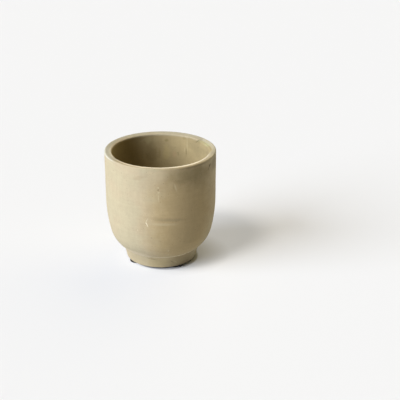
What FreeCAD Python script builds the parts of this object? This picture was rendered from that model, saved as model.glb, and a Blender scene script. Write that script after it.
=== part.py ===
"""Cast flower pot on stick-on pads, with a rubber drain plug.

Millimetres, +Z up. The origin is on the floor under the centre of the pot.
Every round piece is a half section in (radius, height), revolved about Z.
"""
import FreeCAD
import Part
import math
import os

# Overall form of the casting
outer_diameter = 200.0
casting_height = 205.0
wall_thickness = 13.0

# The wall is straight at the top, then turns in along two tangent arcs
flank_radius = 271.0
flank_turn_deg = 12.7
belly_radius = 60.0
belly_turn_deg = 52.0

# The rim's top falls towards the inside
rim_fall = 2.0
rim_outer_rounding = 2.5
rim_inner_rounding = 2.0

# The foot stands back under the lip at the bottom of the bowl and narrows downwards
foot_height = 23.4
lip_overhang = 1.8
foot_batter = 5.5
foot_edge_rounding = 1.5
foot_ring_width = 30.0

# Underside and drain
recess_depth = 6.0
recess_rounding = 2.0
drain_hole_diameter = 16.0

# Stick-on pads, set by hand, so their angles are uneven
pad_diameter = 25.0
pad_thickness = 3.0
pad_edge_rounding = 0.4
pad_overhang = 0.7
front_left_pad_deg = 210.5
front_right_pad_deg = 300.0
back_right_pad_deg = 22.0
back_left_pad_deg = 113.0

# Drain plug
plug_running_clearance = 0.05
plug_head_lap = 6.0
plug_head_thickness = 3.0
plug_head_rounding = 1.0
plug_tip_reach = 1.5
plug_tip_chamfer = 1.5
grip_width = 16.0
grip_thickness = 4.0
grip_height = 9.0
grip_corner_radius = 5.0
grip_edge_rounding = 0.8

# Places that follow from the sizes above
outer_radius = outer_diameter / 2
inner_radius = outer_radius - wall_thickness
foot_bottom_z = pad_thickness
rim_z = foot_bottom_z + casting_height
rim_slope = math.atan2(rim_fall, wall_thickness)
rim_crown = rim_outer_rounding * (math.tan(rim_slope) + 1 / math.cos(rim_slope) - 1)
rim_corner_z = rim_z + rim_crown
lip_z = foot_bottom_z + foot_height
flank_turn = math.radians(flank_turn_deg)
belly_turn = math.radians(belly_turn_deg)
belly_centre_z = lip_z + belly_radius * math.sin(belly_turn)
flank_centre_z = belly_centre_z + (flank_radius - belly_radius) * math.sin(flank_turn)
flank_centre_r = outer_radius - flank_radius
belly_centre_r = flank_centre_r + (flank_radius - belly_radius) * math.cos(flank_turn)
lip_radius = belly_centre_r + belly_radius * math.cos(belly_turn)
foot_top_radius = lip_radius - lip_overhang
foot_bottom_radius = foot_top_radius - foot_batter
floor_z = belly_centre_z - (belly_radius - wall_thickness)
recess_radius = foot_bottom_radius - foot_ring_width
recess_z = foot_bottom_z + recess_depth
drain_hole_radius = drain_hole_diameter / 2
pad_centre_radius = foot_bottom_radius + pad_overhang - pad_diameter / 2
plug_head_radius = drain_hole_radius + plug_head_lap
plug_stem_radius = drain_hole_radius - plug_running_clearance
plug_head_z = floor_z + plug_head_thickness
plug_tip_z = recess_z - plug_tip_reach
grip_top_z = plug_head_z + grip_height

AXIS = FreeCAD.Vector(0, 0, 1)
ORIGIN = FreeCAD.Vector(0, 0, 0)


def at(radius, height):
    """A point of a half section."""
    return FreeCAD.Vector(radius, 0, height)


def on_arc(centre_r, centre_z, radius, turn):
    """The point of an arc where its outward normal has turned down by an angle."""
    return at(centre_r + radius * math.cos(turn), centre_z - radius * math.sin(turn))


def straight(start, end):
    """A straight edge of a half section."""
    return Part.LineSegment(start, end).toShape()


def arc(centre_r, centre_z, radius, from_turn, to_turn):
    """An arc edge between two turns of its normal."""
    middle = on_arc(centre_r, centre_z, radius, (from_turn + to_turn) / 2)
    start = on_arc(centre_r, centre_z, radius, from_turn)
    end = on_arc(centre_r, centre_z, radius, to_turn)
    return Part.Arc(start, middle, end).toShape()


def corner_arc(before, corner, after, rounding):
    """The arc that rounds a corner between two straight edges."""
    back = (before - corner).normalize()
    ahead = (after - corner).normalize()
    half_angle = back.getAngle(ahead) / 2
    reach = rounding / math.tan(half_angle)
    centre = corner + (back + ahead).normalize() * (rounding / math.sin(half_angle))
    middle = centre + (corner - centre).normalize() * rounding
    return Part.Arc(corner + back * reach, middle, corner + ahead * reach)


def rounded_path(points, roundings):
    """Straight edges through points, with an arc at each inner point that has a rounding."""
    edges = []
    start = points[0]
    for corner, after, rounding in zip(points[1:-1], points[2:], roundings):
        if rounding > 0:
            bend = corner_arc(start, corner, after, rounding)
            edges.append(straight(start, bend.StartPoint))
            edges.append(bend.toShape())
            start = bend.EndPoint
        else:
            edges.append(straight(start, corner))
            start = corner
    edges.append(straight(start, points[-1]))
    return edges


def revolve(edges):
    """The solid that a closed half section sweeps round Z."""
    face = Part.Face(Part.Wire(edges))
    return face.revolve(ORIGIN, AXIS, 360)


def pot_body():
    """The casting: bowl, rim and foot, with the recess and the drain hole in its base."""
    full_turn = math.radians(90)
    inner_belly = belly_radius - wall_thickness
    inner_flank = flank_radius - wall_thickness
    inside = [
        straight(at(drain_hole_radius, floor_z), at(belly_centre_r, floor_z)),
        arc(belly_centre_r, belly_centre_z, inner_belly, full_turn, flank_turn),
        arc(flank_centre_r, flank_centre_z, inner_flank, flank_turn, 0),
    ]
    rim = rounded_path(
        [
            at(inner_radius, flank_centre_z),
            at(inner_radius, rim_corner_z - rim_fall),
            at(outer_radius, rim_corner_z),
            at(outer_radius, flank_centre_z),
        ],
        [rim_inner_rounding, rim_outer_rounding],
    )
    outside = [
        arc(flank_centre_r, flank_centre_z, flank_radius, 0, flank_turn),
        arc(belly_centre_r, belly_centre_z, belly_radius, flank_turn, belly_turn),
    ]
    underside = rounded_path(
        [
            at(lip_radius, lip_z),
            at(foot_top_radius, lip_z),
            at(foot_bottom_radius, foot_bottom_z),
            at(recess_radius, foot_bottom_z),
            at(recess_radius, recess_z),
            at(drain_hole_radius, recess_z),
            at(drain_hole_radius, floor_z),
        ],
        [0, foot_edge_rounding, 0, recess_rounding, 0],
    )
    return revolve(inside + rim + outside + underside)


def foot_pad(angle_deg):
    """One round pad between the floor and the underside of the foot."""
    pad_radius = pad_diameter / 2
    section = rounded_path(
        [at(0, 0), at(pad_radius, 0), at(pad_radius, pad_thickness), at(0, pad_thickness), at(0, 0)],
        [pad_edge_rounding, 0, 0],
    )
    pad = revolve(section)
    pad.translate(FreeCAD.Vector(pad_centre_radius, 0, 0))
    pad.rotate(ORIGIN, AXIS, angle_deg)
    return pad


def drain_plug():
    """The stopper: a stem in the drain hole, a head on the pot's floor and a grip tab."""
    section = rounded_path(
        [
            at(0, plug_tip_z),
            at(plug_stem_radius - plug_tip_chamfer, plug_tip_z),
            at(plug_stem_radius, plug_tip_z + plug_tip_chamfer),
            at(plug_stem_radius, floor_z),
            at(plug_head_radius, floor_z),
            at(plug_head_radius, plug_head_z),
            at(0, plug_head_z),
            at(0, plug_tip_z),
        ],
        [0, 0, 0, 0, plug_head_rounding, 0],
    )
    half_width = grip_width / 2
    tab_outline = rounded_path(
        [
            at(-half_width, floor_z),
            at(-half_width, grip_top_z),
            at(half_width, grip_top_z),
            at(half_width, floor_z),
            at(-half_width, floor_z),
        ],
        [grip_corner_radius, grip_corner_radius, 0],
    )
    tab_face = Part.Face(Part.Wire(tab_outline))
    tab_face.translate(FreeCAD.Vector(0, -grip_thickness / 2, 0))
    tab = tab_face.extrude(FreeCAD.Vector(0, grip_thickness, 0))
    plug = revolve(section).fuse(tab).removeSplitter()
    tab_edges = [
        edge for edge in plug.Edges
        if edge.CenterOfMass.z > plug_head_z + grip_edge_rounding
        and abs(edge.CenterOfMass.y) > grip_thickness / 2 - grip_edge_rounding
    ]
    return plug.makeFillet(grip_edge_rounding, tab_edges)


def main():
    """Write one STEP file for each piece."""
    os.makedirs("parts", exist_ok=True)
    pieces = {
        "pot_body": pot_body(),
        "foot_pad_front_left": foot_pad(front_left_pad_deg),
        "foot_pad_front_right": foot_pad(front_right_pad_deg),
        "foot_pad_back_right": foot_pad(back_right_pad_deg),
        "foot_pad_back_left": foot_pad(back_left_pad_deg),
        "drain_plug": drain_plug(),
    }
    for name, shape in pieces.items():
        shape.exportStep("parts/" + name + ".step")
        box = shape.optimalBoundingBox()
        print(name, "valid", shape.isValid(), "solids", len(shape.Solids), "volume", round(shape.Volume),
              "z", round(box.ZMin, 2), round(box.ZMax, 2), "width", round(box.XLength, 2))


main()
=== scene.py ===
"""Looks of a cast cement flower pot that stands on rubber pads and has a rubber drain plug.

Metres, +Z up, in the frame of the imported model, with the pot's round axis on Z. A round piece starts as a
half section of a few runs and arcs, which is spun about Z. Angles about Z run from +X towards +Y.
"""

import logging
import math
import random
from dataclasses import dataclass
from enum import Enum

import bmesh
import bpy
from mathutils import Matrix, Vector, noise
from mathutils.kdtree import KDTree


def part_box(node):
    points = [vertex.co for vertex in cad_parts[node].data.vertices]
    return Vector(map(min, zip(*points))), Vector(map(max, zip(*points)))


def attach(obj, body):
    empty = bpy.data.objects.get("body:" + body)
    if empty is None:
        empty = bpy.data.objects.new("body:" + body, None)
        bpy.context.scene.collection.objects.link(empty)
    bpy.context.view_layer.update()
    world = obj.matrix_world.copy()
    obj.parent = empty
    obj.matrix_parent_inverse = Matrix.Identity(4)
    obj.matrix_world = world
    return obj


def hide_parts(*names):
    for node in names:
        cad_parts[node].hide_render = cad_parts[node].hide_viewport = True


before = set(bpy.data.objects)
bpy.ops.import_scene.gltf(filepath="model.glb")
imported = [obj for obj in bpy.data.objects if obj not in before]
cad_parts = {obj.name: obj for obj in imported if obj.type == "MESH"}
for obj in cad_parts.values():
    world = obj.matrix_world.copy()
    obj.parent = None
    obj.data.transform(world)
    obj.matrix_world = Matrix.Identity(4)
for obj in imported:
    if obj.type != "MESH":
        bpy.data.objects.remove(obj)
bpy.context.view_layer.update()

MM = 0.001
MERGE_DISTANCE = 0.001 * MM
# Most of a noise texture's values lie between these two
NOISE_LOW = 0.25
NOISE_HIGH = 0.75
AXIS = Vector((0.0, 0.0, 1.0))
log = logging.getLogger("flower_pot")


def srgb(code: str) -> tuple[float, float, float, float]:
    """Turn an sRGB hex colour to linear.

    Args:
        code: Six hex digits after a hash.

    Returns:
        Linear red, green and blue, and an alpha of one.
    """
    shares = [int(code[place:place + 2], 16) / 255 for place in (1, 3, 5)]
    linear = [s / 12.92 if s <= 0.04045 else ((s + 0.055) / 1.055) ** 2.4 for s in shares]
    return (*linear, 1.0)


def add_node(tree: bpy.types.NodeTree, kind: str, settings: dict | None = None,
             links: dict | None = None) -> bpy.types.Node:
    """Add a node with its settings and links.

    Args:
        tree: The node tree.
        kind: The node's type.
        settings: Values by the name of a property, or by the name or number of an input.
        links: Output sockets by the name or number of the input that they go to.

    Returns:
        The new node.
    """
    node = tree.nodes.new(kind)
    for name, value in (settings or {}).items():
        if isinstance(name, str) and hasattr(node, name):
            setattr(node, name, value)
        else:
            node.inputs[name].default_value = value
    for name, output in (links or {}).items():
        tree.links.new(output, node.inputs[name])
    return node


def facing(place: Vector, angle_deg: float) -> float:
    """Return the cosine of the angle about Z between a place and a direction."""
    return math.cos(math.atan2(place.y, place.x) - math.radians(angle_deg))


@dataclass(frozen=True)
class Ease:
    """A smooth change of a share, from 0 at one value to 1 at another, which may be the smaller one."""

    none_at: float
    full_at: float

    def share(self, value: float) -> float:
        """Return the share at a value."""
        way = min(max((value - self.none_at) / (self.full_at - self.none_at), 0.0), 1.0)
        return way * way * (3.0 - 2.0 * way)


class HalfSection:
    """The outline of a round piece in the XZ plane, made as a wire and then spun about Z."""

    coarse_factor = 3.0

    def __init__(self, radius: float, height: float) -> None:
        """Start the outline at a radius and a height."""
        self.bm = bmesh.new()
        self.first = self.bm.verts.new((radius, 0.0, height))
        self.last = self.first

    def run(self, radius: float, height: float) -> bmesh.types.BMVert:
        """Go straight to a radius and a height, and return the corner there."""
        corner = self.bm.verts.new((radius, 0.0, height))
        self.bm.edges.new((self.last, corner))
        self.last = corner
        return corner

    def swing(self, centre_r: float, centre_z: float, turn: float, step: float) -> None:
        """Go on along an arc.

        Args:
            centre_r: The radius at which the arc's centre lies.
            centre_z: The height of the arc's centre.
            turn: The angle in radians, clockwise as seen from -Y.
            step: The length of each edge of the arc.
        """
        centre = Vector((centre_r, 0.0, centre_z))
        length = (self.last.co - centre).length * abs(turn)
        made = bmesh.ops.spin(self.bm, geom=[self.last], cent=centre, axis=(0.0, 1.0, 0.0), angle=turn,
                              steps=max(2, round(length / step)), use_merge=False, use_duplicate=False)
        self.last = next(part for part in made["geom_last"] if isinstance(part, bmesh.types.BMVert))

    def close(self) -> None:
        """Join the outline's last point to its first."""
        self.bm.edges.new((self.last, self.first))

    def round_corner(self, corner: bmesh.types.BMVert, reach: float, segments: int) -> None:
        """Round a corner from a distance before it to the same distance behind it."""
        bmesh.ops.bevel(self.bm, geom=[corner], offset=reach, offset_type="OFFSET", affect="VERTICES",
                        segments=segments, profile=0.5, material=-1)

    def spin(self, steps: int, spacing: float, coarse_radius: float = 0.0) -> bmesh.types.BMesh:
        """Divide the outline's long runs and spin it.

        Args:
            steps: How many faces go round.
            spacing: The longest edge that is left in the outline.
            coarse_radius: The radius inside which an edge may be longer by the coarse factor.

        Returns:
            The closed round mesh, with its faces outwards.
        """
        for edge in list(self.bm.edges):
            is_coarse = max(vertex.co.x for vertex in edge.verts) < coarse_radius
            longest = self.coarse_factor * spacing if is_coarse else spacing
            cuts = math.ceil(edge.calc_length() / longest) - 1
            if cuts > 0:
                bmesh.ops.subdivide_edges(self.bm, edges=[edge], cuts=cuts)
        bmesh.ops.spin(self.bm, geom=self.bm.verts[:] + self.bm.edges[:], cent=(0.0, 0.0, 0.0), axis=AXIS,
                       angle=math.tau, steps=steps, use_merge=True, use_duplicate=False)
        bmesh.ops.remove_doubles(self.bm, verts=self.bm.verts, dist=MERGE_DISTANCE)
        bmesh.ops.recalc_face_normals(self.bm, faces=self.bm.faces)
        return self.bm


def make_piece(bm: bmesh.types.BMesh, name: str, material: bpy.types.Material) -> bpy.types.Object:
    """Turn a bmesh into a smooth piece in the scene.

    Args:
        bm: The mesh, which is freed.
        name: The piece's name.
        material: Its material.

    Returns:
        The new object, at the origin.
    """
    mesh = bpy.data.meshes.new(name)
    bm.to_mesh(mesh)
    bm.free()
    mesh.polygons.foreach_set("use_smooth", [True] * len(mesh.polygons))
    mesh.materials.append(material)
    piece = bpy.data.objects.new(name, mesh)
    bpy.context.scene.collection.objects.link(piece)
    return piece


class Side(Enum):
    """The surface of the pot that a mark or a dent lies on."""

    OUTSIDE = "outside"
    INSIDE = "inside"
    FOOT = "foot"


@dataclass(frozen=True)
class Dent:
    """A hollow in the cast surface, left by an air bubble or a knock."""

    side: Side
    angle_deg: float
    height: float
    radius: float
    depth: float


@dataclass(frozen=True)
class Mark:
    """A patch of another tone on the surface, with a ragged edge: a discoloured patch, a scuff, a scratch,
    and in places painted shade and painted light.

    It is a flat ellipsoid that stands across the wall. Its edge lies between clear_edge and full_edge, as
    shares of its half sizes. Its reach through the wall allows for the wall's bow across its width.
    """

    side: Side
    angle_deg: float
    height: float
    half_width: float
    half_height: float
    tone: str
    strength: float
    lean_deg: float = 0.0
    raggedness: float = 1.6
    least_reach: float = 4.0 * MM
    bow_allowance: float = 1.5
    clear_edge: float = 1.2
    full_edge: float = 0.4

    def tint(self, tree: bpy.types.NodeTree, colour: bpy.types.NodeSocket, place: bpy.types.NodeSocket,
             ragged: bpy.types.NodeSocket, centre: Vector) -> bpy.types.NodeSocket:
        """Lay the mark over a colour.

        Args:
            tree: The material's tree.
            colour: The colour under the mark.
            place: The point of the surface.
            ragged: Noise that makes the mark's edge uneven.
            centre: The mark's middle.

        Returns:
            The colour with the mark on it.
        """
        bow = self.half_width ** 2 / (2.0 * centre.xy.length)
        reach = self.least_reach + bow * self.bow_allowance
        turned = add_node(tree, "ShaderNodeMapping",
                          {"vector_type": "TEXTURE", "Location": centre,
                           "Rotation": (math.radians(self.lean_deg), 0.0, math.radians(self.angle_deg)),
                           "Scale": (reach, self.half_width, self.half_height)}, {"Vector": place})
        away = add_node(tree, "ShaderNodeVectorMath", {"operation": "LENGTH"}, {0: turned.outputs[0]})
        uneven = add_node(tree, "ShaderNodeMath", {"operation": "MULTIPLY_ADD", 1: self.raggedness},
                          {0: ragged, 2: away.outputs["Value"]})
        mask = add_node(tree, "ShaderNodeMapRange",
                        {"interpolation_type": "SMOOTHSTEP",
                         "From Min": self.clear_edge + self.raggedness / 2,
                         "From Max": self.full_edge + self.raggedness / 2,
                         "To Min": 0.0, "To Max": self.strength},
                        {"Value": uneven.outputs[0]})
        return add_node(tree, "ShaderNodeMix", {"data_type": "RGBA", 7: srgb(self.tone)},
                        {0: mask.outputs[0], 6: colour}).outputs[2]


@dataclass(frozen=True)
class Mottling:
    """One scale of uneven tone: patches of a real size that are lighter and darker by a share."""

    size: float
    share: float
    stretch: tuple[float, float, float] = (1.0, 1.0, 1.0)
    detail: float = 3.0

    def vary(self, tree: bpy.types.NodeTree, colour: bpy.types.NodeSocket,
             place: bpy.types.NodeSocket) -> bpy.types.NodeSocket:
        """Make a colour uneven.

        Args:
            tree: The material's tree.
            colour: The even colour.
            place: The point of the surface.

        Returns:
            The uneven colour.
        """
        drawn = add_node(tree, "ShaderNodeMapping", {"Scale": [1.0 / (self.size * s) for s in self.stretch]},
                         {"Vector": place})
        patches = add_node(tree, "ShaderNodeTexNoise", {"Scale": 1.0, "Detail": self.detail},
                           {"Vector": drawn.outputs[0]})
        factor = add_node(tree, "ShaderNodeMapRange",
                          {"From Min": NOISE_LOW, "From Max": NOISE_HIGH, "To Min": 1.0 - self.share,
                           "To Max": 1.0 + self.share}, {"Value": patches.outputs["Fac"]})
        return add_node(tree, "ShaderNodeVectorMath", {"operation": "SCALE"},
                        {"Vector": colour, "Scale": factor.outputs[0]}).outputs[0]


@dataclass(frozen=True)
class CastCement:
    """Unsealed cement with ochre pigment, poured into a mould and left as it came out.

    The eye gets a dry, chalky surface with no gloss: clouds of a warmer and a greener tone, faint streaks
    down the wall and bands round it where the pour paused, sandy grain, pinholes from air bubbles, and
    paler edges, which are partly worn pale and partly a painted highlight. The sand grains are drawn about
    twice their size, so that they show.
    """

    warm: str = "#A6997E"
    green: str = "#A2987D"
    # Paler edges: worn pale, and a painted highlight
    rubbed_and_highlit: str = "#E4DAC0"
    # Greyer tone of the rim towards the back, in patches
    greyer_rim: str = "#A49F8A"
    inside: str = "#9A8B66"
    cloud_size: float = 48.0 * MM
    ragged_size: float = 12.0 * MM
    grain_size: float = 1.5 * MM
    speck_spacing: float = 3.4 * MM
    speck_radius: float = 0.5 * MM
    pinhole_spacing: float = 6.0 * MM
    pinhole_radius: float = 0.45 * MM
    cloud_edge: tuple[float, float] = (0.38, 0.62)
    patch_edge: tuple[float, float] = (0.4, 0.6)
    least_patch: float = 0.7
    speck_edge: tuple[float, float] = (1.3, 0.6)
    speck_contrast: float = 0.22
    pinhole_edge: tuple[float, float] = (0.6, 1.4)
    pinhole_shade: float = 0.45
    fine_mark: float = 3.0 * MM
    grain_relief: float = 0.5
    relief_strength: float = 0.45
    relief_depth: float = 0.35 * MM
    roughness: float = 0.94
    specular: float = 0.2
    mottling: tuple[Mottling, ...] = (
        Mottling(24.0 * MM, 0.035),
        Mottling(7.0 * MM, 0.035),
        Mottling(5.0 * MM, 0.03, stretch=(1.0, 1.0, 8.0), detail=2.0),
        Mottling(3.5 * MM, 0.03, stretch=(12.0, 12.0, 1.0), detail=2.0),
        Mottling(2.0 * MM, 0.03),
    )

    def material(self, pot: "PotCasting") -> bpy.types.Material:
        """Return the material, with the tones and marks where the pot has them."""
        material = bpy.data.materials.new("cast_cement")
        material.use_nodes = True
        tree = material.node_tree
        tree.nodes.clear()
        place = add_node(tree, "ShaderNodeTexCoord").outputs["Object"]
        coarse = add_node(tree, "ShaderNodeTexNoise", {"Scale": 1.0 / self.ragged_size, "Detail": 4.0},
                          {"Vector": place}).outputs["Fac"]
        grain = add_node(tree, "ShaderNodeTexNoise", {"Scale": 1.0 / self.grain_size, "Detail": 3.0},
                         {"Vector": place}).outputs["Fac"]
        colour = self._cloudy(tree, place)
        # Broad patches go under the other tones: discoloured patches, and painted shade and painted light
        for stain_or_shade in pot.stains_and_shade:
            centre = pot.place(stain_or_shade.side, stain_or_shade.angle_deg, stain_or_shade.height)
            colour = stain_or_shade.tint(tree, colour, place, coarse, centre)
        colour = self._toned(tree, colour, coarse)
        for layer in self.mottling:
            colour = layer.vary(tree, colour, place)
        for mark in pot.marks:
            ragged = coarse if min(mark.half_width, mark.half_height) > self.fine_mark else grain
            centre = pot.place(mark.side, mark.angle_deg, mark.height)
            colour = mark.tint(tree, colour, place, ragged, centre)
        colour = self._speckled(tree, colour, place)
        colour, solid = self._pierced(tree, colour, place)
        relief = add_node(tree, "ShaderNodeMath", {"operation": "MULTIPLY_ADD", 1: self.grain_relief},
                          {0: grain, 2: solid})
        bump = add_node(tree, "ShaderNodeBump",
                        {"Strength": self.relief_strength, "Distance": self.relief_depth},
                        {"Height": relief.outputs[0]})
        shader = add_node(tree, "ShaderNodeBsdfPrincipled",
                          {"Roughness": self.roughness, "Specular IOR Level": self.specular},
                          {"Base Color": colour, "Normal": bump.outputs["Normal"]})
        add_node(tree, "ShaderNodeOutputMaterial", None, {"Surface": shader.outputs[0]})
        return material

    def _cloudy(self, tree: bpy.types.NodeTree, place: bpy.types.NodeSocket) -> bpy.types.NodeSocket:
        """Return the cement's own colour, in clouds of a warmer and a greener tone."""
        clouds = add_node(tree, "ShaderNodeTexNoise", {"Scale": 1.0 / self.cloud_size, "Detail": 3.0},
                          {"Vector": place})
        share = add_node(tree, "ShaderNodeMapRange",
                         {"interpolation_type": "SMOOTHSTEP", "From Min": self.cloud_edge[0],
                          "From Max": self.cloud_edge[1]},
                         {"Value": clouds.outputs["Fac"]})
        return add_node(tree, "ShaderNodeMix", {"data_type": "RGBA", 6: srgb(self.warm), 7: srgb(self.green)},
                        {0: share.outputs[0]}).outputs[2]

    def _toned(self, tree: bpy.types.NodeTree, colour: bpy.types.NodeSocket,
               coarse: bpy.types.NodeSocket) -> bpy.types.NodeSocket:
        """Return a colour with the tones of the inside, the paler edges, worn pale and with a painted
        highlight, and the greyer part of the rim.

        Only the greyer part of the rim lies in patches.
        """
        patchy = add_node(tree, "ShaderNodeMapRange",
                          {"From Min": self.patch_edge[0], "From Max": self.patch_edge[1],
                           "To Min": self.least_patch}, {"Value": coarse}).outputs[0]
        # The paler edges are partly worn pale and partly a painted highlight
        for layer, tone in (("inside", self.inside), ("greyer_rim", self.greyer_rim), ("rubbed_and_highlit", self.rubbed_and_highlit)):
            amount = add_node(tree, "ShaderNodeAttribute", {"attribute_name": layer}).outputs["Fac"]
            if layer == "greyer_rim":
                amount = add_node(tree, "ShaderNodeMath", {"operation": "MULTIPLY"},
                                  {0: amount, 1: patchy}).outputs[0]
            colour = add_node(tree, "ShaderNodeMix", {"data_type": "RGBA", 7: srgb(tone)},
                              {0: amount, 6: colour}).outputs[2]
        return colour

    def _speckled(self, tree: bpy.types.NodeTree, colour: bpy.types.NodeSocket,
                  place: bpy.types.NodeSocket) -> bpy.types.NodeSocket:
        """Return a colour with pale and dark sand grains in it."""
        cells = add_node(tree, "ShaderNodeTexVoronoi", {"Scale": 1.0 / self.speck_spacing}, {"Vector": place})
        share = self.speck_radius / self.speck_spacing
        speck = add_node(tree, "ShaderNodeMapRange",
                         {"From Min": share * self.speck_edge[0], "From Max": share * self.speck_edge[1],
                          "To Min": 0.0, "To Max": 1.0},
                         {"Value": cells.outputs["Distance"]})
        kind = add_node(tree, "ShaderNodeSeparateColor", None, {"Color": cells.outputs["Color"]})
        change = add_node(tree, "ShaderNodeMapRange",
                          {"To Min": -self.speck_contrast, "To Max": self.speck_contrast},
                          {"Value": kind.outputs[1]})
        factor = add_node(tree, "ShaderNodeMath", {"operation": "MULTIPLY_ADD", 2: 1.0},
                          {0: speck.outputs[0], 1: change.outputs[0]})
        return add_node(tree, "ShaderNodeVectorMath", {"operation": "SCALE"},
                        {"Vector": colour, "Scale": factor.outputs[0]}).outputs[0]

    def _pierced(self, tree: bpy.types.NodeTree, colour: bpy.types.NodeSocket,
                 place: bpy.types.NodeSocket) -> tuple[bpy.types.NodeSocket, bpy.types.NodeSocket]:
        """Pierce a colour with pinholes.

        Args:
            tree: The material's tree.
            colour: The colour between the holes.
            place: The point of the surface.

        Returns:
            The colour with dark pinholes, and a value that is 1 between the holes and 0 in them.
        """
        cells = add_node(tree, "ShaderNodeTexVoronoi", {"Scale": 1.0 / self.pinhole_spacing},
                         {"Vector": place})
        share = self.pinhole_radius / self.pinhole_spacing
        solid = add_node(tree, "ShaderNodeMapRange",
                         {"interpolation_type": "SMOOTHSTEP", "From Min": share * self.pinhole_edge[0],
                          "From Max": share * self.pinhole_edge[1]}, {"Value": cells.outputs["Distance"]})
        factor = add_node(tree, "ShaderNodeMapRange", {"To Min": self.pinhole_shade},
                          {"Value": solid.outputs[0]})
        pierced = add_node(tree, "ShaderNodeVectorMath", {"operation": "SCALE"},
                           {"Vector": colour, "Scale": factor.outputs[0]})
        return pierced.outputs[0], solid.outputs[0]


@dataclass(frozen=True)
class MouldedRubber:
    """Dark rubber from a mould: a soft dark surface with a faint broad sheen and a fine grain.

    The grain is drawn at about four times its size, so that it shows.
    """

    name: str
    tone: str
    worn_tone: str
    grain_size: float = 1.2 * MM
    relief_strength: float = 0.4
    relief_depth: float = 0.15 * MM
    roughness: float = 0.72
    specular: float = 0.3

    def material(self) -> bpy.types.Material:
        """Return the material."""
        material = bpy.data.materials.new(self.name)
        material.use_nodes = True
        tree = material.node_tree
        tree.nodes.clear()
        place = add_node(tree, "ShaderNodeTexCoord").outputs["Object"]
        grain = add_node(tree, "ShaderNodeTexNoise", {"Scale": 1.0 / self.grain_size, "Detail": 3.0},
                         {"Vector": place}).outputs["Fac"]
        colour = add_node(tree, "ShaderNodeMix",
                          {"data_type": "RGBA", 6: srgb(self.tone), 7: srgb(self.worn_tone)},
                          {0: grain}).outputs[2]
        bump = add_node(tree, "ShaderNodeBump",
                        {"Strength": self.relief_strength, "Distance": self.relief_depth}, {"Height": grain})
        shader = add_node(tree, "ShaderNodeBsdfPrincipled",
                          {"Roughness": self.roughness, "Specular IOR Level": self.specular},
                          {"Base Color": colour, "Normal": bump.outputs["Normal"]})
        add_node(tree, "ShaderNodeOutputMaterial", None, {"Surface": shader.outputs[0]})
        return material


# Side, angle about Z in degrees, height, radius and depth
NAMED_DENTS = (
    Dent(Side.OUTSIDE, 267.7, 169.5 * MM, 2.0 * MM, 0.7 * MM),
    Dent(Side.OUTSIDE, 256.0, 114.0 * MM, 1.4 * MM, 0.4 * MM),
    Dent(Side.OUTSIDE, 255.0, 110.4 * MM, 1.4 * MM, 0.4 * MM),
    Dent(Side.OUTSIDE, 254.5, 107.4 * MM, 1.5 * MM, 0.5 * MM),
    Dent(Side.OUTSIDE, 255.2, 104.4 * MM, 1.5 * MM, 0.5 * MM),
    Dent(Side.OUTSIDE, 255.9, 101.3 * MM, 1.5 * MM, 0.4 * MM),
    Dent(Side.OUTSIDE, 329.6, 195.0 * MM, 3.0 * MM, 1.3 * MM),
    Dent(Side.OUTSIDE, 326.0, 190.0 * MM, 2.0 * MM, 0.6 * MM),
    Dent(Side.OUTSIDE, 329.7, 154.0 * MM, 1.8 * MM, 0.6 * MM),
    Dent(Side.OUTSIDE, 243.6, 169.0 * MM, 1.5 * MM, 0.4 * MM),
    Dent(Side.OUTSIDE, 244.9, 90.1 * MM, 1.6 * MM, 0.6 * MM),
    Dent(Side.OUTSIDE, 259.5, 77.4 * MM, 1.6 * MM, 0.6 * MM),
    Dent(Side.OUTSIDE, 277.3, 48.5 * MM, 2.2 * MM, 0.7 * MM),
    Dent(Side.OUTSIDE, 277.8, 38.1 * MM, 2.2 * MM, 0.7 * MM),
    Dent(Side.OUTSIDE, 322.0, 106.6 * MM, 2.6 * MM, 0.4 * MM),
    Dent(Side.INSIDE, 40.6, 199.3 * MM, 1.8 * MM, 0.7 * MM),
    Dent(Side.INSIDE, 38.2, 202.4 * MM, 2.3 * MM, 1.1 * MM),
    Dent(Side.INSIDE, 36.0, 205.4 * MM, 2.4 * MM, 1.3 * MM),
    Dent(Side.INSIDE, 67.0, 169.0 * MM, 2.0 * MM, 0.3 * MM),
    Dent(Side.INSIDE, 83.7, 176.0 * MM, 1.8 * MM, 0.5 * MM),
)

# Side, angle about Z in degrees, height, half width, half height, tone and strength, as in the next table
# Broad patches of tone: discoloured patches, and painted shade and painted light where noted
BROAD_STAINS_AND_SHADE = (
    # Painted shade: the right half, away from the lights, is darker and warmer
    Mark(Side.OUTSIDE, 295.0, 100.0 * MM, 84.0 * MM, 150.0 * MM, "#A08E69", 1.0, raggedness=0.3),
    Mark(Side.OUTSIDE, 300.0, 191.0 * MM, 54.0 * MM, 15.0 * MM, "#7B6F4F", 0.4, raggedness=0.8),
    Mark(Side.OUTSIDE, 312.0, 184.0 * MM, 48.0 * MM, 24.0 * MM, "#7B6F4F", 0.34, raggedness=0.8),
    # Painted light: the lower belly on the lit front left, just above the lip, is paler
    Mark(Side.OUTSIDE, 232.0, 32.0 * MM, 36.0 * MM, 7.5 * MM, "#B5A88D", 0.9, raggedness=0.5),
    Mark(Side.FOOT, 232.0, 13.0 * MM, 46.0 * MM, 18.0 * MM, "#978B6E", 0.65, raggedness=0.3),
    # Painted shade: the front and right of the foot, away from the lights, are darker and warmer
    Mark(Side.FOOT, 266.0, 13.0 * MM, 24.0 * MM, 18.0 * MM, "#96875F", 0.5, raggedness=0.3),
    Mark(Side.FOOT, 300.0, 13.0 * MM, 36.0 * MM, 18.0 * MM, "#8A7B5A", 0.5, raggedness=0.3),
)

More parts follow.
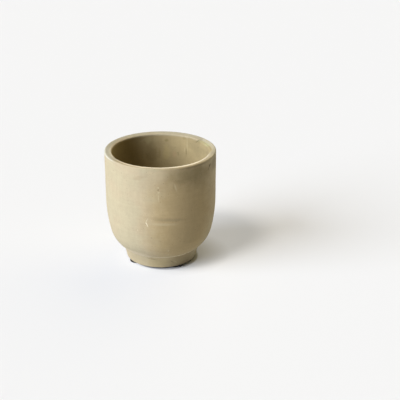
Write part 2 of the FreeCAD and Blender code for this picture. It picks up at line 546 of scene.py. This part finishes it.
NAMED_MARKS = (
    Mark(Side.OUTSIDE, 247.0, 188.5 * MM, 18.0 * MM, 4.0 * MM, "#94866A", 0.35, lean_deg=14.0),
    Mark(Side.OUTSIDE, 268.0, 196.0 * MM, 17.0 * MM, 12.0 * MM, "#B4A588", 0.35),
    Mark(Side.OUTSIDE, 273.0, 113.8 * MM, 38.0 * MM, 4.4 * MM, "#887B5E", 0.3, lean_deg=-5.0),
    Mark(Side.OUTSIDE, 279.5, 111.8 * MM, 24.0 * MM, 3.6 * MM, "#80745A", 0.28, lean_deg=-5.0),
    Mark(Side.OUTSIDE, 271.5, 104.8 * MM, 30.0 * MM, 3.2 * MM, "#B6A98B", 0.35, lean_deg=-2.0),
    Mark(Side.OUTSIDE, 267.7, 170.0 * MM, 2.0 * MM, 1.8 * MM, "#786C52", 0.55),
    Mark(Side.OUTSIDE, 267.4, 173.8 * MM, 1.7 * MM, 1.4 * MM, "#C4B99C", 0.5),
    Mark(Side.OUTSIDE, 267.9, 164.6 * MM, 2.4 * MM, 1.4 * MM, "#C4B99C", 0.4),
    Mark(Side.OUTSIDE, 267.6, 154.0 * MM, 1.3 * MM, 9.0 * MM, "#BFB395", 0.35),
    Mark(Side.OUTSIDE, 282.6, 173.5 * MM, 1.4 * MM, 6.0 * MM, "#80745A", 0.35, lean_deg=10.0),
    Mark(Side.OUTSIDE, 284.6, 172.5 * MM, 1.4 * MM, 8.0 * MM, "#B3A687", 0.55, lean_deg=16.0),
    Mark(Side.OUTSIDE, 255.2, 110.8 * MM, 0.9 * MM, 5.6 * MM, "#CFC4A8", 0.4, lean_deg=-23.0),
    Mark(Side.OUTSIDE, 255.4, 103.8 * MM, 1.1 * MM, 6.0 * MM, "#DAD0B5", 0.6, lean_deg=21.0),
    Mark(Side.OUTSIDE, 329.6, 195.0 * MM, 1.7 * MM, 4.4 * MM, "#3E3624", 0.85, lean_deg=-38.0),
    Mark(Side.OUTSIDE, 326.0, 190.0 * MM, 1.3 * MM, 2.4 * MM, "#5A5036", 0.45, lean_deg=-30.0),
    Mark(Side.OUTSIDE, 329.7, 153.0 * MM, 1.3 * MM, 2.2 * MM, "#B5A985", 0.5),
    Mark(Side.OUTSIDE, 322.0, 106.6 * MM, 3.6 * MM, 4.6 * MM, "#A3956F", 0.45, lean_deg=-40.0),
    Mark(Side.OUTSIDE, 244.9, 90.1 * MM, 1.3 * MM, 1.4 * MM, "#BDB195", 0.6),
    Mark(Side.OUTSIDE, 259.5, 77.4 * MM, 1.2 * MM, 1.4 * MM, "#80745A", 0.6),
    Mark(Side.OUTSIDE, 277.3, 48.5 * MM, 2.8 * MM, 2.8 * MM, "#AEA183", 0.45),
    Mark(Side.OUTSIDE, 277.8, 38.1 * MM, 2.8 * MM, 2.8 * MM, "#AEA183", 0.45),
    Mark(Side.OUTSIDE, 344.0, 193.0 * MM, 30.0 * MM, 15.0 * MM, "#726956", 0.5, raggedness=0.4),
    Mark(Side.OUTSIDE, 306.0, 204.8 * MM, 44.0 * MM, 2.0 * MM, "#6B5F45", 0.4, raggedness=0.4),
    Mark(Side.OUTSIDE, 190.0, 207.5 * MM, 50.0 * MM, 3.0 * MM, "#B8B7A8", 0.6, raggedness=0.4),
    Mark(Side.OUTSIDE, 355.0, 207.0 * MM, 30.0 * MM, 3.0 * MM, "#8E8A76", 0.5, raggedness=0.4),
    Mark(Side.FOOT, 286.0, 15.0 * MM, 0.9 * MM, 6.0 * MM, "#6F6348", 0.55, lean_deg=48.0),
    Mark(Side.FOOT, 291.5, 14.0 * MM, 0.9 * MM, 6.5 * MM, "#B0A486", 0.5, lean_deg=48.0),
    Mark(Side.FOOT, 257.0, 21.5 * MM, 12.0 * MM, 1.3 * MM, "#73674D", 0.55, lean_deg=-6.0),
    Mark(Side.INSIDE, 210.5, 206.5 * MM, 16.0 * MM, 0.55 * MM, "#747168", 0.6),
    Mark(Side.INSIDE, 54.8, 190.0 * MM, 1.6 * MM, 15.0 * MM, "#B3A67F", 0.4),
    Mark(Side.INSIDE, 56.3, 175.3 * MM, 1.0 * MM, 9.0 * MM, "#5E5236", 0.6),
    Mark(Side.INSIDE, 58.2, 179.0 * MM, 1.1 * MM, 5.0 * MM, "#B9AB84", 0.4),
    Mark(Side.INSIDE, 38.3, 202.5 * MM, 1.0 * MM, 5.6 * MM, "#4E4630", 0.85, lean_deg=48.0),
    Mark(Side.INSIDE, 36.0, 194.0 * MM, 34.0 * MM, 16.0 * MM, "#7D7253", 0.45, raggedness=0.4),
    Mark(Side.INSIDE, 25.0, 204.5 * MM, 20.0 * MM, 4.5 * MM, "#ABAB7E", 0.6),
    Mark(Side.INSIDE, 59.4, 202.0 * MM, 5.0 * MM, 3.2 * MM, "#857750", 0.5),
    Mark(Side.INSIDE, 49.9, 203.6 * MM, 7.0 * MM, 1.8 * MM, "#857750", 0.5),
    Mark(Side.INSIDE, 82.1, 194.0 * MM, 4.5 * MM, 4.0 * MM, "#75683F", 0.45),
    Mark(Side.INSIDE, 96.0, 196.0 * MM, 5.0 * MM, 7.0 * MM, "#A99C75", 0.35),
    Mark(Side.INSIDE, 110.8, 197.5 * MM, 9.0 * MM, 1.8 * MM, "#A89B78", 0.5, lean_deg=-24.0),
    Mark(Side.INSIDE, 67.0, 169.0 * MM, 1.6 * MM, 4.5 * MM, "#7A6D4C", 0.35),
    # Painted light: the inner wall is paler deep down, right of the back, where the light falls
    Mark(Side.INSIDE, 82.0, 172.0 * MM, 9.0 * MM, 18.0 * MM, "#AC9C6C", 0.45),
    Mark(Side.INSIDE, 14.0, 197.0 * MM, 13.0 * MM, 8.0 * MM, "#85795A", 0.7),
    Mark(Side.INSIDE, 38.0, 183.0 * MM, 12.0 * MM, 15.0 * MM, "#877A5A", 0.35),
    Mark(Side.INSIDE, 105.5, 195.0 * MM, 8.0 * MM, 8.0 * MM, "#ACA078", 0.5),
    # Painted shade: the inner wall is darker deep down, left of the back, towards its shaded side
    Mark(Side.INSIDE, 101.0, 168.0 * MM, 13.0 * MM, 22.0 * MM, "#73653F", 0.4),
    Mark(Side.INSIDE, 91.0, 168.0 * MM, 2.6 * MM, 12.0 * MM, "#83744F", 0.45),
    Mark(Side.INSIDE, 72.6, 167.0 * MM, 4.5 * MM, 6.0 * MM, "#A38A66", 0.45),
)


@dataclass(frozen=True)
class LooseDents:
    """Small air holes and knocks that are scattered all over the wall, outside and inside."""

    count: int = 90
    seed: int = 7
    inside_every: int = 4
    above_lip: float = 6.0 * MM
    below_top: float = 5.0 * MM
    radius_mm: tuple[float, float] = (0.9, 1.5)
    depth_share: tuple[float, float] = (0.2, 0.45)

    def scatter(self, lip: float, top: float) -> tuple[Dent, ...]:
        """Return the dents of a wall between the heights of its lip and its top."""
        chance = random.Random(self.seed)
        dents = []
        for number in range(self.count):
            side = Side.OUTSIDE if number % self.inside_every else Side.INSIDE
            height = chance.uniform(lip + self.above_lip, top - self.below_top)
            radius = chance.uniform(*self.radius_mm) * MM
            angle_deg = chance.uniform(0.0, 360.0)
            depth = radius * chance.uniform(*self.depth_share)
            dents.append(Dent(side, angle_deg, height, radius, depth))
        return tuple(dents)


@dataclass(frozen=True)
class Unevenness:
    """The broad and small waves by which the cast surface lies under its true shape."""

    broad_size: float = 55.0 * MM
    broad_depth: float = 0.15 * MM
    small_size: float = 13.0 * MM
    small_depth: float = 0.05 * MM
    above_bottom: Ease = Ease(1.0 * MM, 5.0 * MM)
    beyond_hole: Ease = Ease(6.0 * MM, 12.0 * MM)

    def depth(self, place: Vector, pot: "PotCasting") -> float:
        """Return the depth at a place: none at the foot's bottom and about the drain hole."""
        low_fade = self.above_bottom.share(place.z - pot.bottom)
        hole_fade = self.beyond_hole.share(place.xy.length - pot.hole_radius)
        broad = self.broad_depth * (noise.noise(place / self.broad_size) + 1.0)
        small = self.small_depth * (noise.noise(place / self.small_size) + 1.0)
        return (broad + small) * low_fade * hole_fade


@dataclass(frozen=True)
class EdgeLoss:
    """What chips and wear take off the rim's edges and the lip.

    The rim's inner edge is worn round on one stretch, whose two ends ease in over some degrees.
    """

    chip_size: float = 7.0 * MM
    chip_depth: float = 1.1 * MM
    chip_threshold: float = 0.12
    chip_zone: Ease = Ease(4.0 * MM, 1.0 * MM)
    rim_chip_share: float = 0.35
    worn_start_deg: Ease = Ease(-16.0, 6.0)
    worn_end_deg: Ease = Ease(37.5, 33.5)
    worn_reach: float = 13.0 * MM
    worn_depth: float = 5.0 * MM
    worn_power: float = 1.3

    def worn(self, place: Vector) -> float:
        """Return how far the rim's inner edge is worn round at a place, from 0 to 1."""
        angle_deg = math.degrees(math.atan2(place.y, place.x))
        return self.worn_start_deg.share(angle_deg) * self.worn_end_deg.share(angle_deg)

    def depth(self, place: Vector, pot: "PotCasting") -> float:
        """Return the depth that is lost at a place."""
        radius = place.xy.length
        chips = self.chip_depth * max(noise.noise(place / self.chip_size) - self.chip_threshold, 0.0)
        to_lip = math.hypot(radius - pot.lip_radius, place.z - pot.lip)
        to_outer = math.hypot(radius - pot.outer_radius, place.z - pot.rim_corner)
        to_inner = math.hypot(radius - pot.inner_radius, place.z - pot.rim_corner + pot.rim_fall)
        lip_share = self.chip_zone.share(to_lip)
        rim_share = self.rim_chip_share * self.chip_zone.share(min(to_outer, to_inner))
        near_edge = max(1.0 - to_inner / self.worn_reach, 0.0) ** self.worn_power
        return chips * (lip_share + rim_share) + self.worn_depth * near_edge * self.worn(place)


@dataclass(frozen=True)
class SurfaceTones:
    """Where the casting is dark inside, paler at its edges or greyer on the rim, as shares that its points
    carry.

    A place across the rim is 0 at the wall's inside and 1 at its outside. The rim's inner edge is paler
    towards the front, and in a wider band about wide_deg: partly worn pale, partly a painted highlight along
    the front of the rim. The rim is greyer towards the back.
    """

    inside_below_top: Ease = Ease(2.5 * MM, 6.0 * MM)
    inside_above_recess: float = 1.0 * MM
    worn_across: Ease = Ease(0.9, 0.5)
    rim_below_top: Ease = Ease(4.5 * MM, 2.5 * MM)
    # The rim's pale inner edge, partly wear and partly a painted highlight, strongest towards the front
    rub_highlight_across: Ease = Ease(0.5, 0.2)
    front_deg: float = 255.0
    front_facing: Ease = Ease(-0.2, 0.55)
    least_rub_highlight: float = 0.05
    wide_deg: float = 270.0
    wide_facing: Ease = Ease(0.5, 1.0)
    widening: float = 0.35
    # The lip's pale line is partly wear and partly a painted highlight
    lip_rub_highlight: float = 0.55
    lip_rub_highlight_rise: float = 0.8 * MM
    lip_rub_highlight_zone: Ease = Ease(2.6 * MM, 0.5 * MM)
    lip_rub_highlight_margin: float = 1.0 * MM
    # How much greyer the rim is towards the back
    rim_greying: float = 0.9
    greyer_across: Ease = Ease(0.2, 0.5)
    back_deg: float = 105.0
    back_facing: Ease = Ease(-0.6, 0.1)

    def write(self, bm: bmesh.types.BMesh, pot: "PotCasting") -> None:
        """Write the three shares of each point into the mesh."""
        inside = bm.verts.layers.float.new("inside")
        rubbed_and_highlit = bm.verts.layers.float.new("rubbed_and_highlit")
        greyer_rim = bm.verts.layers.float.new("greyer_rim")
        for vertex in bm.verts:
            across = (vertex.co.xy.length - pot.inner_radius) / pot.wall
            on_rim = self.rim_below_top.share(pot.top - vertex.co.z)
            worn = pot.edge_loss.worn(vertex.co)
            vertex[inside] = self._inside(vertex.co, across, worn, pot)
            # Painted highlight along the rim's inner edge, together with the edge's pale wear
            rim_rub_highlight = (1.0 - worn) * on_rim * self._inner_edge(vertex.co, across)
            vertex[rubbed_and_highlit] = max(rim_rub_highlight, self._lip(vertex.co, pot))
            back = self.back_facing.share(facing(vertex.co, self.back_deg))
            # The rim is made greyer towards the back
            vertex[greyer_rim] = self.rim_greying * on_rim * back * self.greyer_across.share(across)

    def _inside(self, place: Vector, across: float, worn: float, pot: "PotCasting") -> float:
        """Return how far a place has the tone of the inside, which the worn stretch of the rim shows too."""
        below_rim = self.inside_below_top.share(pot.top - place.z)
        middle = pot.wall_radius(Side.OUTSIDE, place.z) - pot.wall / 2
        if place.z > pot.recess_top + self.inside_above_recess and place.xy.length < middle:
            return max(below_rim, worn)
        return (1.0 - below_rim) * worn * self.worn_across.share(across)

    def _inner_edge(self, place: Vector, across: float) -> float:
        """Return how far the rim's edge is paler at a place, worn pale and painted as a highlight, if it
        isn't worn round there.
        """
        front = self.front_facing.share(facing(place, self.front_deg))
        wider = self.widening * self.wide_facing.share(facing(place, self.wide_deg))
        amount = self.least_rub_highlight + (1.0 - self.least_rub_highlight) * front
        return amount * self.rub_highlight_across.share(across - wider)

    def _lip(self, place: Vector, pot: "PotCasting") -> float:
        """Return how far the lip over the foot is paler at a place: worn pale, and a painted highlight."""
        if place.xy.length <= pot.lip_radius - self.lip_rub_highlight_margin:
            return 0.0
        return self.lip_rub_highlight * self.lip_rub_highlight_zone.share(abs(place.z - pot.lip - self.lip_rub_highlight_rise))


@dataclass
class PotCasting:
    """The bowl, rim and foot, which are one casting."""

    wall: float = 13.0 * MM
    flank_radius: float = 271.0 * MM
    flank_turn: float = math.radians(12.7)
    belly_radius: float = 60.0 * MM
    belly_turn: float = math.radians(52.0)
    rim_fall: float = 2.0 * MM
    rim_outer_rounding: float = 2.5 * MM
    rim_inner_rounding: float = 2.0 * MM
    foot_height: float = 23.4 * MM
    lip_overhang: float = 1.8 * MM
    lip_rounding: float = 0.5 * MM
    foot_batter: float = 5.5 * MM
    foot_edge_rounding: float = 1.5 * MM
    foot_ring_width: float = 30.0 * MM
    recess_depth: float = 6.0 * MM
    recess_rounding: float = 2.0 * MM
    hole_radius: float = 8.0 * MM
    faces_round: int = 300
    spacing: float = 2.2 * MM
    coarse_radius: float = 63.0 * MM
    rim_inner_segments: int = 5
    rim_outer_segments: int = 6
    lip_segments: int = 2
    foot_edge_segments: int = 4
    recess_segments: int = 3
    refined_margin: float = 0.8
    refined_cuts: int = 2
    unevenness: Unevenness = Unevenness()
    edge_loss: EdgeLoss = EdgeLoss()
    tones: SurfaceTones = SurfaceTones()
    loose_dents: LooseDents = LooseDents()
    dents: tuple[Dent, ...] = NAMED_DENTS
    stains_and_shade: tuple[Mark, ...] = BROAD_STAINS_AND_SHADE
    marks: tuple[Mark, ...] = NAMED_MARKS

    def __post_init__(self) -> None:
        """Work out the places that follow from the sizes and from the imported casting's box."""
        low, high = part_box("pot_body")
        self.outer_radius = min(-low.x, -low.y, high.x, high.y)
        self.inner_radius = self.outer_radius - self.wall
        self.bottom = low.z
        self.top = high.z
        slope = math.atan2(self.rim_fall, self.wall)
        self.rim_corner = self.top + self.rim_outer_rounding * (math.tan(slope) + 1.0 / math.cos(slope) - 1.0)
        self.lip = self.bottom + self.foot_height
        self.belly_z = self.lip + self.belly_radius * math.sin(self.belly_turn)
        self.flank_z = self.belly_z + (self.flank_radius - self.belly_radius) * math.sin(self.flank_turn)
        self.flank_r = self.outer_radius - self.flank_radius
        self.belly_r = self.flank_r + (self.flank_radius - self.belly_radius) * math.cos(self.flank_turn)
        self.lip_radius = self.belly_r + self.belly_radius * math.cos(self.belly_turn)
        self.foot_top_radius = self.lip_radius - self.lip_overhang
        self.foot_bottom_radius = self.foot_top_radius - self.foot_batter
        self.floor = self.belly_z - (self.belly_radius - self.wall)
        self.recess_radius = self.foot_bottom_radius - self.foot_ring_width
        self.recess_top = self.bottom + self.recess_depth

    def wall_radius(self, side: Side, height: float) -> float:
        """Return the radius of the wall's outside or inside, or of the foot, at a height."""
        if side is Side.FOOT:
            return self.foot_bottom_radius + self.foot_batter * (height - self.bottom) / self.foot_height
        thinner = self.wall if side is Side.INSIDE else 0.0
        if height >= self.flank_z:
            return self.outer_radius - thinner
        flank_reach = self.flank_radius - thinner
        belly_reach = self.belly_radius - thinner
        if height >= self.belly_z - belly_reach * math.sin(self.flank_turn):
            return self.flank_r + math.sqrt(flank_reach ** 2 - (self.flank_z - height) ** 2)
        return self.belly_r + math.sqrt(max(belly_reach ** 2 - (self.belly_z - height) ** 2, 0.0))

    def place(self, side: Side, angle_deg: float, height: float) -> Vector:
        """Return the point of a side at an angle and a height."""
        angle = math.radians(angle_deg)
        radius = self.wall_radius(side, height)
        return Vector((radius * math.cos(angle), radius * math.sin(angle), height))

    def build(self) -> bpy.types.Object:
        """Build the casting and dress it."""
        bm = self._spin_outline()
        dents = self.dents + self.loose_dents.scatter(self.lip, self.top)
        self._refine(bm, dents)
        self._weather(bm, dents)
        self.tones.write(bm, self)
        casting = make_piece(bm, "casting", CastCement().material(self))
        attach(casting, "pot")
        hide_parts("pot_body")
        return casting

    def _spin_outline(self) -> bmesh.types.BMesh:
        """Return the true shape of the casting, with even faces."""
        quarter = math.radians(90.0)
        section = HalfSection(self.hole_radius, self.floor)
        section.run(self.belly_r, self.floor)
        section.swing(self.belly_r, self.belly_z, self.flank_turn - quarter, self.spacing)
        section.swing(self.flank_r, self.flank_z, -self.flank_turn, self.spacing)
        inner_edge = section.run(self.inner_radius, self.rim_corner - self.rim_fall)
        outer_edge = section.run(self.outer_radius, self.rim_corner)
        section.run(self.outer_radius, self.flank_z)
        section.swing(self.flank_r, self.flank_z, self.flank_turn, self.spacing)
        section.swing(self.belly_r, self.belly_z, self.belly_turn - self.flank_turn, self.spacing)
        lip_edge = section.last
        crease = section.run(self.foot_top_radius, self.lip)
        foot_edge = section.run(self.foot_bottom_radius, self.bottom)
        section.run(self.recess_radius, self.bottom)
        recess_corner = section.run(self.recess_radius, self.recess_top)
        section.run(self.hole_radius, self.recess_top)
        section.close()
        section.round_corner(inner_edge, self.rim_inner_rounding, self.rim_inner_segments)
        section.round_corner(outer_edge, self.rim_outer_rounding, self.rim_outer_segments)
        section.round_corner(lip_edge, self.lip_rounding, self.lip_segments)
        section.round_corner(crease, self.lip_rounding, self.lip_segments)
        section.round_corner(foot_edge, self.foot_edge_rounding, self.foot_edge_segments)
        section.round_corner(recess_corner, self.recess_rounding, self.recess_segments)
        return section.spin(self.faces_round, self.spacing, self.coarse_radius)

    def _refine(self, bm: bmesh.types.BMesh, dents: tuple[Dent, ...]) -> None:
        """Divide the faces about each dent, and a share of a face beyond it, so that it comes out round."""
        tree = self._tree_of(bm)
        near = set()
        for dent in dents:
            centre = self.place(dent.side, dent.angle_deg, dent.height)
            reach = dent.radius + self.refined_margin * self.spacing
            near.update(index for _, index, _ in tree.find_range(centre, reach))
        edges = [edge for edge in bm.edges if edge.verts[0].index in near and edge.verts[1].index in near]
        bmesh.ops.subdivide_edges(bm, edges=edges, cuts=self.refined_cuts, use_grid_fill=True)

    def _tree_of(self, bm: bmesh.types.BMesh) -> KDTree:
        """Return a tree of the mesh's points, by their numbers."""
        bm.verts.ensure_lookup_table()
        bm.verts.index_update()
        tree = KDTree(len(bm.verts))
        for vertex in bm.verts:
            tree.insert(vertex.co, vertex.index)
        tree.balance()
        return tree

    def _weather(self, bm: bmesh.types.BMesh, dents: tuple[Dent, ...]) -> None:
        """Press the surface in by uneven casting, chips, wear and the dents; nothing moves outwards."""
        bm.normal_update()
        tree = self._tree_of(bm)
        depths = [self.unevenness.depth(vertex.co, self) + self.edge_loss.depth(vertex.co, self)
                  for vertex in bm.verts]
        for dent in dents:
            centre = self.place(dent.side, dent.angle_deg, dent.height)
            for _, index, away in tree.find_range(centre, dent.radius):
                depths[index] += dent.depth * (1.0 - (away / dent.radius) ** 2) ** 2
        moves = [vertex.normal * depth for vertex, depth in zip(bm.verts, depths)]
        for vertex, move in zip(bm.verts, moves):
            vertex.co -= move


@dataclass
class FootPads:
    """The round stick-on pads under the foot.

    The waist is rounded over a share of the pad's height, and its flat sides have rings that are a share of
    its radius apart.
    """

    nodes: tuple[str, ...] = ("foot_pad_front_left", "foot_pad_front_right", "foot_pad_back_right",
                              "foot_pad_back_left")
    bulge: float = 0.6 * MM
    waist_share: float = 0.25
    edge_rounding: float = 0.5 * MM
    edge_segments: int = 3
    waist_segments: int = 4
    top_segments: int = 2
    faces_round: int = 72
    ring_share: float = 0.25

    def build(self) -> list[bpy.types.Object]:
        """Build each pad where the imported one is."""
        rubber = MouldedRubber("pad_rubber", "#12110E", "#1C1A16").material()
        return [self._pad(node, rubber) for node in self.nodes]

    def _pad(self, node: str, rubber: bpy.types.Material) -> bpy.types.Object:
        """Build one pad, whose side bulges a little under the pot's weight."""
        low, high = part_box(node)
        radius = (high.x - low.x) / 2
        height = high.z - low.z
        section = HalfSection(0.0, 0.0)
        bottom_edge = section.run(radius, 0.0)
        waist = section.run(radius + self.bulge, height / 2)
        top_edge = section.run(radius, height)
        section.run(0.0, height)
        section.round_corner(bottom_edge, self.edge_rounding, self.edge_segments)
        section.round_corner(waist, height * self.waist_share, self.waist_segments)
        section.round_corner(top_edge, self.edge_rounding / 2, self.top_segments)
        bm = section.spin(self.faces_round, radius * self.ring_share)
        centre = (low + high) / 2
        bmesh.ops.translate(bm, verts=bm.verts, vec=(centre.x, centre.y, low.z))
        pad = make_piece(bm, node.replace("foot_pad", "pad"), rubber)
        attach(pad, "pot")
        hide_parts(node)
        return pad


@dataclass
class DrainPlug:
    """The rubber stopper in the drain hole."""

    node: str = "drain_plug"

    def build(self) -> bpy.types.Object:
        """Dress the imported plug, whose shape is the real one."""
        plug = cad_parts[self.node]
        for slot in plug.material_slots:
            slot.material = MouldedRubber("plug_rubber", "#262624", "#33322E").material()
        return plug


@dataclass(frozen=True)
class SoftLight:
    """A broad even light, by the direction that it comes from."""

    name: str
    azimuth_deg: float
    elevation_deg: float
    spread_deg: float
    strength: float
    colour: tuple[float, float, float] = (1.0, 1.0, 1.0)

    def hang(self) -> None:
        """Put the light into the scene."""
        lamp = bpy.data.lights.new(self.name, "SUN")
        lamp.energy = self.strength
        lamp.angle = math.radians(self.spread_deg)
        lamp.color = self.colour
        light = bpy.data.objects.new(self.name, lamp)
        turn = Matrix.Rotation(math.radians(self.azimuth_deg - 90.0), 4, "Z")
        light.matrix_world = turn @ Matrix.Rotation(math.radians(self.elevation_deg - 90.0), 4, "X")
        bpy.context.scene.collection.objects.link(light)


@dataclass(frozen=True)
class Shade:
    """A round area of the floor in which its painted glow fades towards the middle, as a painted shadow of
    the pot.
    """

    centre: tuple[float, float, float]
    inner_radius: float
    outer_radius: float
    least: float = 0.0

    def share(self, tree: bpy.types.NodeTree, place: bpy.types.NodeSocket) -> bpy.types.NodeSocket:
        """Return the share of the light that a place of the floor keeps."""
        away = add_node(tree, "ShaderNodeVectorMath", {"operation": "DISTANCE", 1: self.centre}, {0: place})
        return add_node(tree, "ShaderNodeMapRange",
                        {"From Min": self.inner_radius, "From Max": self.outer_radius, "To Min": self.least},
                        {"Value": away.outputs["Value"]}).outputs[0]


@dataclass
class Studio:
    """A pale lit floor under a low window on the left, with a high light and a weak one from behind."""

    floor_size: float = 60.0
    floor_tone: str = "#B8BABC"
    floor_glow: str = "#9B9C9E"
    # Painted shadows of the pot on the floor's glow: under and in front of the foot, and to the bowl's right
    foot_shade: Shade = Shade((8.0 * MM, -8.0 * MM, 0.0), 58.0 * MM, 61.0 * MM)
    bowl_shade: Shade = Shade((34.2 * MM, 3.6 * MM, 0.0), 42.1 * MM, 94.6 * MM, least=0.36)
    backdrop_tone: str = "#F6F6F6"
    lights: tuple[SoftLight, ...] = (
        SoftLight("window_light", 205.0, 24.0, 45.0, 5.04, (0.95, 1.0, 1.12)),
        SoftLight("high_light", 222.0, 55.0, 14.0, 1.27, (1.1, 1.0, 0.88)),
        SoftLight("back_light", 45.0, 35.0, 70.0, 1.2, (1.2, 1.0, 0.56)),
    )
    camera_place: tuple[float, float, float] = (0.0, -1.5, 0.75013)
    camera_yaw_deg: float = -2.7300
    camera_tilt_deg: float = 66.8421
    camera_roll_deg: float = 0.3645
    lens_mm: float = 80.0991
    sensor_mm: float = 36.0

    def build(self) -> None:
        """Set up the floor, the lights, the backdrop and the camera."""
        self._lay_floor()
        for light in self.lights:
            light.hang()
        self._tint_backdrop()
        self._set_camera()

    def _lay_floor(self) -> None:
        """Lay the floor, in matt white paper with a painted glow, which the shades dim into painted shadows
        of the pot.
        """
        bm = bmesh.new()
        bmesh.ops.create_grid(bm, x_segments=1, y_segments=1, size=self.floor_size / 2)
        paper = bpy.data.materials.new("floor_paper")
        paper.use_nodes = True
        tree = paper.node_tree
        shader = tree.nodes["Principled BSDF"]
        place = add_node(tree, "ShaderNodeTexCoord").outputs["Object"]
        glow = add_node(tree, "ShaderNodeMath", {"operation": "MULTIPLY"},
                        {0: self.foot_shade.share(tree, place), 1: self.bowl_shade.share(tree, place)})
        tree.links.new(glow.outputs[0], shader.inputs["Emission Strength"])
        shader.inputs["Base Color"].default_value = srgb(self.floor_tone)
        shader.inputs["Roughness"].default_value = 1.0
        shader.inputs["Specular IOR Level"].default_value = 0.0
        shader.inputs["Emission Color"].default_value = srgb(self.floor_glow)
        make_piece(bm, "floor", paper)

    def _tint_backdrop(self) -> None:
        """Give the space beyond the floor the floor's tone, without lighting the pot by it."""
        world = bpy.data.worlds.new("backdrop")
        bpy.context.scene.world = world
        world.use_nodes = True
        world.node_tree.nodes["Background"].inputs["Color"].default_value = srgb(self.backdrop_tone)
        world.cycles_visibility.diffuse = False

    def _set_camera(self) -> None:
        """Stand the camera where the photograph was taken from."""
        camera = bpy.data.objects.new("camera", bpy.data.cameras.new("camera"))
        camera.data.lens = self.lens_mm
        camera.data.sensor_width = self.sensor_mm
        camera.data.clip_end = self.floor_size
        yaw = Matrix.Rotation(math.radians(self.camera_yaw_deg), 4, "Z")
        tilt = Matrix.Rotation(math.radians(self.camera_tilt_deg), 4, "X")
        roll = Matrix.Rotation(math.radians(self.camera_roll_deg), 4, "Z")
        camera.matrix_world = Matrix.Translation(self.camera_place) @ yaw @ tilt @ roll
        bpy.context.scene.collection.objects.link(camera)
        bpy.context.scene.camera = camera
        bpy.context.scene.view_settings.view_transform = "Standard"


def main() -> None:
    """Build the pot, piece by piece, and the studio round it."""
    logging.basicConfig(level=logging.INFO, format="%(message)s")
    pot = PotCasting()
    casting = pot.build()
    log.info("%s: %d faces", casting.name, len(casting.data.polygons))
    for pad in FootPads().build():
        log.info("%s: %d faces", pad.name, len(pad.data.polygons))
    plug = DrainPlug().build()
    log.info("%s: %d faces", plug.name, len(plug.data.polygons))
    Studio().build()


if __name__ == "__main__":
    main()
